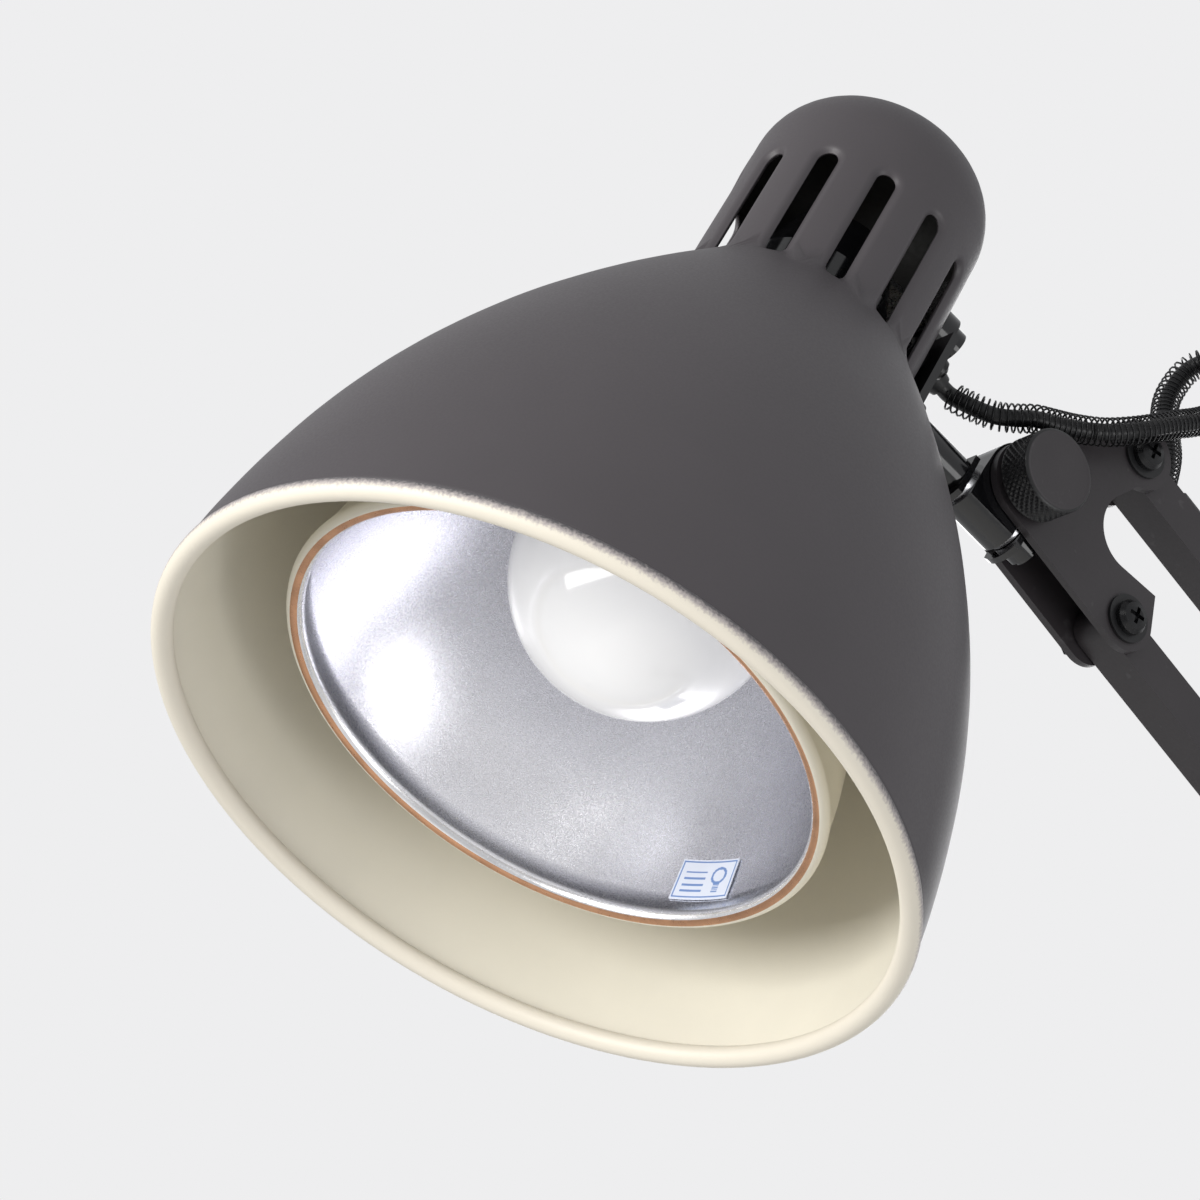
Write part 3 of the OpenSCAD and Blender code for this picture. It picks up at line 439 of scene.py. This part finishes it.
rows = plug_sections()
verts = [v for y, w, h, p in rows
         for v in superellipse(PLUG_AT[0], PLUG_AT[1] + y, PLUG_AT[2], w, h, p)]
faces = grid_faces(len(rows), PLUG_SIDES, wrap=True)
faces += [tuple(range(PLUG_SIDES - 1, -1, -1)),
          tuple(range((len(rows) - 1) * PLUG_SIDES, len(rows) * PLUG_SIDES))]
plug = make("plug_moulding", verts, [f[::-1] for f in faces], ["black_plastic"])
plug_bevel = plug.modifiers.new("soft_edges", "BEVEL")
plug_bevel.width = 0.0002
plug_bevel.limit_method = "ANGLE"
place_piece(plug, "clamp", "black_plastic", "plug_body")

HEAD_ROUTE = [from_shade(*p) for p in ((36.9, 0, 98.1), (38.9, 0, 98.1), (41.5, -0.3, 98))]
HEAD_ROUTE += offset(SHADE_O, [
    (89.9, -3.6, 59), (93.9, -6.8, 56.8), (98.2, -9.3, 56.4), (102.1, -10.8, 56.7),
    (107, -11.4, 56.6), (112.4, -11.8, 56.6), (117.8, -12.6, 56.8), (122.7, -14, 57.2),
    (131, -15.4, 59.2), (141.7, -14.6, 63.1), (152.3, -12.8, 67), (161.2, -10.6, 72),
    (168.5, -7.5, 80), (173.5, -2.5, 88), (174.5, 4.5, 92.5), (171.5, 10.5, 91.2),
    (167, 12.6, 84.6), (163, 10.6, 77), (159.5, 6.4, 69.5), (155.6, 2.2, 62.2), (151.6, 0, 54.7)])
ELBOW_ROUTE = offset(ELBOW, [
    (-10.6, 0, -38.7), (-7.1, 0.4, -33.4), (-1.5, 1.6, -28.6), (7, 3.4, -24.3), (16.9, 5.2, -21.2),
    (27, 6.8, -14.8), (35.5, 7.8, -4), (41, 8.2, 10), (43.6, 8.4, 26), (44, 8.4, 42),
    (42, 8.2, 58), (37.5, 7.6, 73), (30, 6.4, 86), (19.6, 4.6, 95.5), (8.6, 2.6, 99.9),
    (-1.8, 1, 103), (-9.4, 0.2, 106.1), (-14.9, 0, 109.9)])
BASE_ROUTE = [
    (44.6, 0, 106), (50, 6, 96), (52, 14, 84), (50, 22, 70), (44, 28, 55), (36, 30.5, 41),
    (27, 29, 28), (17, 25, 19), (7, 20.5, 14.2), (-1, 17.8, 12.3), (-5.6, 17.5, 12.05)]
# name, route, (body, body, first point, last point) of each span, CAD node
LOOPS = [
    ("head_loop", HEAD_ROUTE,
     [("shade", "tilt", 0, 9), ("tilt", "head", 9, 14), ("head", "upper_arm", 14, 23)],
     "head_cord_loop"),
    ("elbow_loop", ELBOW_ROUTE, [("lower_arm", "elbow", 0, 9), ("elbow", "upper_arm", 9, 17)],
     "elbow_cord_loop"),
    ("base_loop", BASE_ROUTE, [("base", "lower_arm", 4, 0), ("clamp", "base", 10, 4)], "base_cord_loop"),
]
CORE_R, GUARD_PITCH, GUARD_WIRE = 2.0, 1.5, 0.26
PER = 8  # steps between two points of a route
BARE = 2  # points at the gland's end, which have no guard
for name, route, spans, node in LOOPS:
    whole = catmull(route, PER)
    for k, (a, b, first, last) in enumerate(spans):
        low, high = sorted((first, last))
        part = whole[low * PER:high * PER + 1]
        core = tube(f"{name}_{k + 1}", part, CORE_R, "cord_black", 12)
        guarded = part[BARE * PER:] if name == "head_loop" and k == 0 else part
        coil = helix(guarded, GUARD_D / 2 - GUARD_WIRE, GUARD_PITCH, 14)
        guard = tube(f"{name}_guard_{k + 1}", coil, GUARD_WIRE, "black_steel", 5)
        start, end = (tuple(whole[i * PER] * MM) for i in (first, last))
        for piece, slot in ((core, "cord_black"), (guard, "black_steel")):
            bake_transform(piece)
            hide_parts(node)

# ---------- shade

CAP_R, MOUTH_R, MOUTH_H, SHADE_H, TOP_H = 28.5, 87.5, -62, 199, 137
# the bell's outside, from cap to mouth, as shares of its width and height
BELL = [(0, 0.697), (0.022, 0.6818), (0.0661, 0.6641), (0.1695, 0.6237), (0.2966, 0.5707),
        (0.4186, 0.5152), (0.5339, 0.4581), (0.6407, 0.397), (0.7305, 0.3384),
        (0.8085, 0.2778), (0.8763, 0.2121), (0.9305, 0.1414), (0.9712, 0.0707), (0.9915, 0.0152)]
BELL = [(CAP_R + (MOUTH_R - CAP_R) * r, MOUTH_H + SHADE_H * t) for r, t in BELL]
BELT_LOW, BELT_HIGH = 71.0, 112.0
SLOT_R, SLOT_STRAIGHT, SLOT_MIDDLE, SLOTS = 2.5, 14, 91.5, 9
SECTORS, SECTOR_STEPS, BELT_STEPS = 12, 12, 20
SECTOR_DEGREES = 360 // SECTORS
ROUND = SECTORS * SECTOR_STEPS
# side (top, right, bottom, left) and share of it for each point of a ring round a slot
RING = [(side, k / steps) for side, steps in enumerate((SECTOR_STEPS, BELT_STEPS) * 2)
        for k in range(steps)]
bell_curve = [(p.x, p.y) for p in catmull([(r, t, 0) for r, t in
                                           [(28.1, BELT_HIGH), (28.3, 92)] + BELL], 6)]


def bell_radius(t):
    """Radius of the shade's outside at a height."""
    for (r0, t0), (r1, t1) in zip(bell_curve, bell_curve[1:]):
        if t1 <= t <= t0:
            return r0 + (r1 - r0) * (t0 - t) / (t0 - t1)
    return bell_curve[0][0] if t > bell_curve[0][1] else bell_curve[-1][0]


def box_point(side, f, half_w, half_h):
    """A point on one side of a box."""
    return ((half_w * (2 * f - 1), half_h), (half_w, half_h * (1 - 2 * f)),
            (half_w * (1 - 2 * f), -half_h), (-half_w, half_h * (2 * f - 1)))[side]


def slot_point(side, f, r, straight):
    """A point on one side of a slot, whose top and bottom are half circles."""
    if side % 2:
        return box_point(side, f, r, straight)
    a, middle = (math.pi * (1 - f), straight) if side == 0 else (-math.pi * f, -straight)
    return r * math.cos(a), middle + r * math.sin(a)


def build_shade():
    """The shade's outer sheet: a belt of sectors with slots, the bell below it, the cap above."""
    verts, faces, seen = [], [], {}

    def add(angle, t, press=0.0):
        r = bell_radius(t) - press
        v = (r * math.cos(angle), r * math.sin(angle), t)
        key = tuple(round(c, 3) for c in v)
        if key not in seen:
            seen[key] = len(verts)
            verts.append(v)
        return seen[key]

    slots = {(-51 - SECTOR_DEGREES * i) % 360 for i in range(SLOTS)}
    middle, half_h = (BELT_LOW + BELT_HIGH) / 2, (BELT_HIGH - BELT_LOW) / 2
    half_w = math.pi / SECTORS
    for s in range(SECTORS):
        degrees = (9 + SECTOR_DEGREES * s) % 360
        centre = math.radians(degrees)
        if degrees in slots:
            rings = []
            for gap in (0, 0.18, 0.45, 0.85, 1.4, 2.0):
                ring = [slot_point(*at, SLOT_R + gap, SLOT_STRAIGHT) for at in RING]
                press = 1.15 * math.exp(-(gap / 0.8) ** 1.5)
                rings.append([add(centre - x / CAP_R, SLOT_MIDDLE + z, press) for x, z in ring])
            outer = [box_point(*at, half_w, half_h) for at in RING]
            rings.append([add(centre - x, middle + z) for x, z in outer])
            n = len(outer)
            for a, b in zip(rings, rings[1:]):
                faces += [(a[k], a[(k + 1) % n], b[(k + 1) % n], b[k]) for k in range(n)]
        else:
            cells = [[add(centre + half_w * (2 * c / SECTOR_STEPS - 1),
                          BELT_LOW + (BELT_HIGH - BELT_LOW) * r / BELT_STEPS)
                      for c in range(SECTOR_STEPS + 1)] for r in range(BELT_STEPS + 1)]
            for r in range(BELT_STEPS):
                for c in range(SECTOR_STEPS):
                    faces.append((cells[r][c], cells[r][c + 1],
                                  cells[r + 1][c + 1], cells[r + 1][c]))
    # bell below the belt
    heights = [BELT_LOW] + [t for r, t in bell_curve if t < BELT_LOW - 0.8]
    start = math.radians(-6)
    angles = [start + 2 * math.pi * k / ROUND for k in range(ROUND)]
    last = [add(a, BELT_LOW) for a in angles]
    for t in heights[1:]:
        row = [add(a, t) for a in angles]
        faces += [(row[k], row[(k + 1) % ROUND], last[(k + 1) % ROUND], last[k])
                  for k in range(ROUND)]
        last = row
    # cap above the belt
    last = [add(a, BELT_HIGH) for a in angles]
    cap = [(28, 115.5), (28, 119)]
    cap += [(10 + 18 * math.cos(math.radians(a)), 119 + 18 * math.sin(math.radians(a)))
            for a in range(6, 91, 6)]
    cap += [(r, TOP_H) for r in (7, 4, 1.5)]
    for r, t in cap:
        row = []
        for a in angles:
            row.append(len(verts))
            verts.append((r * math.cos(a), r * math.sin(a), t))
        faces.extend((last[k], last[(k + 1) % ROUND], row[(k + 1) % ROUND], row[k])
                     for k in range(ROUND))
        last = row
    faces.append(tuple(last))
    shell = make("shade_shell", verts, faces, ["shade_grey", "cream", "shade_grey", "painted_shade_dark"],
                 SHADE_FRAME)
    b = bmesh.new()
    b.from_mesh(shell.data)
    bmesh.ops.recalc_face_normals(b, faces=b.faces)
    b.to_mesh(shell.data)
    b.free()
    top = max(shell.data.polygons, key=lambda f: f.center.z)
    if top.normal.z < 0:
        shell.data.flip_normals()
    # above this height the inside is painted dark for the shade inside the cap, and below it cream
    low = SHADE_FRAME @ Vector((0, 0, 0.0665))
    axis = Vector((SIN, 0, COS))
    index = [2 if (f.center - low).dot(axis) > 0 else 0 for f in shell.data.polygons]
    shell.data.polygons.foreach_set("material_index", index)
    thick = shell.modifiers.new("sheet", "SOLIDIFY")
    thick.thickness = 0.001
    thick.offset = -1
    thick.material_offset = 1
    thick.material_offset_rim = 0
    return shell


shell = build_shade()
place_piece(shell, "shade", "shade_grey", "shade")
BEAD_R, BEAD_STEPS = 2.4, 24
SPRAY_STEP = 3  # the step of the bead's ring where the overspray is thickest
bead_ring = [(MOUTH_R - BEAD_R + BEAD_R * math.cos(a), MOUTH_H + BEAD_R + BEAD_R * math.sin(a))
             for a in (2 * math.pi * k / BEAD_STEPS for k in range(BEAD_STEPS))]
bead = lathe("shade_bead", bead_ring, ["bead"], SHADE_FRAME, closed=True)
spray = bead.data.attributes.new("overspray", "FLOAT", "POINT")
spray.data.foreach_set("value", [
    max(0.0, math.cos(2 * math.pi * (k - SPRAY_STEP) / BEAD_STEPS)) ** 1.2
    for k in range(BEAD_STEPS) for i in range(ROUND)])
place_piece(bead, "shade", "shade_grey")

# ---------- reflector, with its rolled rim and sticker

# the bowl sits a little askew in the shade
REFL_FRAME = (SHADE_FRAME @ Matrix.Translation((0, 0, 0.05))
              @ Matrix.Rotation(math.radians(1.7), 4, "Y")
              @ Matrix.Rotation(math.radians(0.4), 4, "X") @ Matrix.Translation((0, 0, -0.05)))
REFL_R, REFL_H, REFL_NECK = 63, -44, 19
refl_form = [(0, 50), (0.1856, 43), (0.3944, 31), (0.6032, 14), (0.7889, -7), (0.9397, -28),
             (1, REFL_H + 2.2)]
refl_curve = [(p.x, p.y) for p in catmull(
    [(REFL_NECK + (REFL_R - 1.4 - REFL_NECK) * r, t, 0) for r, t in refl_form], 8)]
rim_c = (REFL_R - 2, REFL_H + 2)
rim = [(rim_c[0] + 2 * math.cos(math.radians(a)), rim_c[1] + 2 * math.sin(math.radians(a)))
       for a in range(150, 391, 12)]
refl_profile = refl_curve[:-3] + rim + [(r + 0.9, t + 0.5) for r, t in reversed(refl_curve[:-3])]
inner_rows = len(refl_curve) - 3


def refl_zone(i):
    """Bare metal inside, then two zones round the rolled rim, then the cream back."""
    if i < inner_rows:
        return 0
    step = i - inner_rows
    if step < 7:
        return 1
    if step < 11:
        return 2
    return 3


reflector = lathe("reflector_bowl", refl_profile, ["reflector_alu", "lip_silver", "copper", "cream"],
                  REFL_FRAME, refl_zone, 144, closed=True)
place_piece(reflector, "shade", "reflector_alu", "reflector")


def build_label():
    """A curved sticker with a plain bulb drawn on it, and no writing."""
    columns, lines = 90, 54
    verts, index = [], []
    for layer in (0, 0.25):
        for j in range(lines + 1):
            t = j / lines
            r = REFL_R - 4.4 + 2.0 * t - layer
            for i in range(columns + 1):
                a = math.radians(9 + 15 * i / columns)
                verts.append((r * math.cos(a), r * math.sin(a), -27.2 - 9.7 * t))
    n = columns + 1
    size = n * (lines + 1)
    front = [tuple(size + q for q in f) for f in grid_faces(lines + 1, n)]
    rear = [f[::-1] for f in grid_faces(lines + 1, n)]
    for k in range(len(front)):
        x = (k % columns + 0.5) / columns * 15.5 - 7.75
        y = 4.85 - (k // columns + 0.5) / lines * 9.7
        ring = 1.5 < math.hypot(x + 3.4, y - 0.9) < 2.1
        foot = abs(x + 3.4) < 0.9 and -3.2 < y < -1.1 and (y * 2.2) % 1 < 0.6
        frame_line = not (abs(x) < 7.1 and abs(y) < 4.2) and abs(x) < 7.45 and abs(y) < 4.55
        bars = 0.2 < x < 5.9 and abs(y) < 3.1 and (y + 3.1) % 1.55 < 0.5
        index.append(1 if ring or foot or frame_line or bars else 0)
    edge = [j * n for j in range(lines + 1)], [j * n + columns for j in range(lines + 1)]
    sides = []
    for line in (list(range(n)), [lines * n + i for i in range(n)], *edge):
        sides += [(a, b, size + b, size + a) for a, b in zip(line, line[1:])]
    return make("caution_sticker", verts, front + rear + sides, ["label_white", "label_blue"],
                REFL_FRAME, index + [0] * (len(rear) + len(sides)), smooth=False)


place_piece(build_label(), "shade", "label_white", "warning_label")

# ---------- bulb

globe = [(30 * math.cos(math.radians(a)), 30 * math.sin(math.radians(a))) for a in range(-90, 41, 5)]
globe[0] = (0.01, -30)
neck = [(p.x, p.y) for p in catmull(
    [(22.98, 19.28, 0), (18.5, 30, 0), (15, 40, 0), (13.9, 51.6, 0)], 8)][1:]
bulb_piece = lathe("bulb_glass", globe + neck + [(13.2, 52), (0.01, 52)], ["opal_glass"],
                   SHADE_FRAME)
place_piece(bulb_piece, "shade", "opal_glass", "bulb_globe")

# ---------- knurled knob

def build_knob():
    """A knob with a crossed knurl on its rim and a painted disc on its face."""
    around, lines = 288, 40
    verts = []
    y0, y1 = -18.0, -9.1
    for j in range(lines + 1):
        t = j / lines
        y = y0 + (y1 - y0) * t
        edge = min(t, 1 - t) * (y1 - y0)
        roll = 0.7 * (1 - min(1, edge / 0.7)) ** 2
        for i in range(around):
            a = 2 * math.pi * i / around
            u, w = a * 36 / (2 * math.pi), (y - y0) / 1.75
            tooth = max(abs(((u + w) % 1) * 2 - 1), abs(((u - w) % 1) * 2 - 1))
            fade = min(1, max(0, (edge - 0.5) / 0.5))
            r = 9.95 - roll - 0.55 * (1 - tooth) * fade
            verts.append((r * math.cos(a), y, r * math.sin(a)))
    faces = grid_faces(lines + 1, around, wrap=True)
    index = [0] * len(faces)
    rings = [(9.0, -18.0), (8.7, -17.9), (8.4, -17.86), (5, -17.9), (0.02, -17.92)]
    first = 0
    for r, y in rings:
        row = len(verts)
        for i in range(around):
            a = 2 * math.pi * i / around
            verts.append((r * math.cos(a), y, r * math.sin(a)))
        for i in range(around):
            m = (i + 1) % around
            faces.append((row + i, row + m, first + m, first + i))
            index.append(1)
        first = row
    last = lines * around
    faces.append(tuple(last + i for i in range(around)))
    index.append(0)
    matrix = Matrix.Translation((TILT[0] * MM, 0, TILT[1] * MM))
    knob = make("knurled_knob", verts, [f[::-1] for f in faces], ["black_plastic", "paint_grey"],
                matrix, index)
    knob.data.set_sharp_from_angle(angle=math.radians(40))
    return knob


place_piece(build_knob(), "knob", "black_plastic", "tension_knob")

# ---------- balance springs

LOW_HOOK = (BASE_PIVOT[0] - 20, BASE_PIVOT[1] + 10)
LOW_PIN = (BASE_PIVOT[0] + 150 * math.cos(LOW_ANGLE), BASE_PIVOT[1] + 150 * math.sin(LOW_ANGLE))
UP_HOOK = (UP_PIVOT[0] + 2, UP_PIVOT[1] + 20)
UP_PIN = (UP_PIVOT[0] - 130 * math.cos(UP_ANGLE), UP_PIVOT[1] + 130 * math.sin(UP_ANGLE))


def balance_spring(name, start, end, y):
    """A close-wound spring whose wire runs on into a hook round the pin at each end."""
    hook_r, wire_r = 3.2, 0.78
    a, b = Vector((start[0], y, start[1])), Vector((end[0], y, end[1]))
    length = (b - a).length
    x, side = (b - a).normalized(), Vector((0, 1, 0))
    up_dir = x.cross(side)
    points = []
    for k in range(21):
        turn = math.radians(200 + 290 * k / 20)
        points.append(a + hook_r * (x * math.cos(turn) + up_dir * math.sin(turn)))
    points = points[::-1]
    low, high, r, pitch, steps = length * 0.16, length * 0.84, 4.75, 1.72, 14
    points.append(a + x * (low - 4))
    count = int((high - low) / pitch * steps)
    for k in range(count + 1):
        turn, fade = 2 * math.pi * k / steps, min(1, k / steps, (count - k) / steps)
        points.append(a + x * (low + (high - low) * k / count)
                      + r * fade * (side * math.cos(turn) + up_dir * math.sin(turn)))
    points.append(b - x * (low - 4))
    for k in range(21):
        turn = math.radians(20 + 290 * k / 20)
        points.append(b + hook_r * (x * math.cos(turn) + up_dir * math.sin(turn)))
    return tube(name, points, wire_r, "black_steel", 7)


for tag, a, b, start, end, node in (
        ("lower", "base", "lower_arm", LOW_HOOK, LOW_PIN, "lower_springs"),
        ("upper", "elbow", "upper_link", UP_HOOK, UP_PIN, "upper_springs")):
    for side, y in (("near", -13.5), ("far", 13.5)):
        spring = balance_spring(f"{tag}_spring_{side}", start, end, y)
        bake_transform(spring)
        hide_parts(node)


# ---------- clamp screw with a real thread

def build_screw():
    """The threaded rod with the turned boss of its handle below and a plain neck above."""
    sides, per_pitch, pitch = 40, 8, 1.5
    low, high = -111, -34.4
    count = int((high - low) / pitch * per_pitch)
    verts = []
    for j in range(count + 1):
        z = low + (high - low) * j / count
        for i in range(sides):
            a = 2 * math.pi * i / sides
            phase = ((z / pitch) - i / sides) % 1
            r = 4.96 - 0.75 * (1 - abs(2 * phase - 1))
            verts.append((r * math.cos(a), r * math.sin(a), z))
    faces = grid_faces(count + 1, sides, wrap=True)
    turned = [(0.05, -124), (6.6, -124), (7.5, -123), (7.5, -112.2), (6.7, -111.2), (4.4, -111)]
    neck_rows = [(4.2, high), (4.0, high + 0.4), (4.0, -28.6), (0.05, -28.5)]
    for profile in (turned, neck_rows):
        base = len(verts)
        for r, z in profile:
            verts += [(r * math.cos(2 * math.pi * i / sides),
                       r * math.sin(2 * math.pi * i / sides), z) for i in range(sides)]
        faces += grid_faces(len(profile), sides, wrap=True, first=base)
    return make("threaded_screw", verts, faces, ["steel"], Matrix.Translation((-0.002, 0, 0)))


screw = build_screw()
screw.data.set_sharp_from_angle(angle=math.radians(50))
place_piece(screw, "screw", "steel", "clamp_screw")

# ---------- CAD nodes that are shown: small bevels and finishes

SHARP = {"bulb_cap", "socket_shell", "plug_blades"}  # these get no bevel
for name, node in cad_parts.items():
    slot = node.material_slots[0].material.name.split(".")[0]
    node.data.materials.clear()
    node.data.materials.append(MATERIALS[slot])
    if node.hide_render:
        continue
    node.data.polygons.foreach_set("use_smooth", [True] * len(node.data.polygons))
    node.data.set_sharp_from_angle(angle=math.radians(32))
    if name not in SHARP:
        bevel = node.modifiers.new("worn_edges", "BEVEL")
        bevel.width = 0.0003
        bevel.segments = 2
        bevel.limit_method = "ANGLE"
        bevel.angle_limit = math.radians(40)

# ---------- stage and light


def board(name, low, high, colour, rough):
    """A plain box of the stage, between two corners in millimetres."""
    xs, ys, zs = zip(low, high)
    verts = [(x, y, z) for x in xs for y in ys for z in zs]
    faces = [(0, 1, 3, 2), (4, 6, 7, 5), (0, 4, 5, 1), (2, 3, 7, 6), (0, 2, 6, 4), (1, 5, 7, 3)]
    MATERIALS[name] = finish_material(name, colour, rough, 0.02, 6, 300, 0.00002)
    obj = make(name, verts, faces, [name], smooth=False)
    edge = obj.modifiers.new("edge", "BEVEL")
    edge.width = 0.002
    edge.segments = 3


board("desk_board", (-750, -420, -25), (31, 420, -0.05), (0.8, 0.79, 0.77), 0.5)
board("floor", (-4000, -4000, -760), (4000, 4000, -740), (0.82, 0.82, 0.82), 0.7)


def area_light(name, position, size, power, colour=(1, 1, 1)):
    """A rectangle of light that faces the bulb, placed from the bulb's centre."""
    data = bpy.data.lights.new(name, "AREA")
    data.shape = "RECTANGLE"
    data.size, data.size_y = size
    data.energy = power
    data.color = colour
    obj = bpy.data.objects.new(name, data)
    bpy.context.scene.collection.objects.link(obj)
    obj.location = bulb + Vector(position)
    obj.rotation_euler = (-Vector(position)).to_track_quat("-Z", "Y").to_euler()


area_light("window", (-1.35, -0.05, 0.22), (1.1, 1.1), 22, (1, 0.99, 0.97))
area_light("fill", (0.5, -1.2, -0.75), (0.9, 0.7), 5)
area_light("back", (0.9, 0.9, 0.2), (0.8, 0.8), 5)

world = bpy.data.worlds.new("studio")
bpy.context.scene.world = world
world.use_nodes = True
# the camera sees a pale backdrop, and the lamp is lit by a dimmer one
wn, wl = world.node_tree.nodes, world.node_tree.links
seen_bg = wn["Background"]
seen_bg.inputs["Color"].default_value = (0.855, 0.855, 0.863, 1)
dim_bg = wn.new("ShaderNodeBackground")
dim_bg.inputs["Color"].default_value = (0.97, 0.98, 1, 1)
dim_bg.inputs["Strength"].default_value = 0.55
mixer = wn.new("ShaderNodeMixShader")
wl.new(wn.new("ShaderNodeLightPath").outputs["Is Camera Ray"], mixer.inputs["Fac"])
wl.new(dim_bg.outputs[0], mixer.inputs[1])
wl.new(seen_bg.outputs[0], mixer.inputs[2])
wl.new(mixer.outputs[0], wn["World Output"].inputs["Surface"])
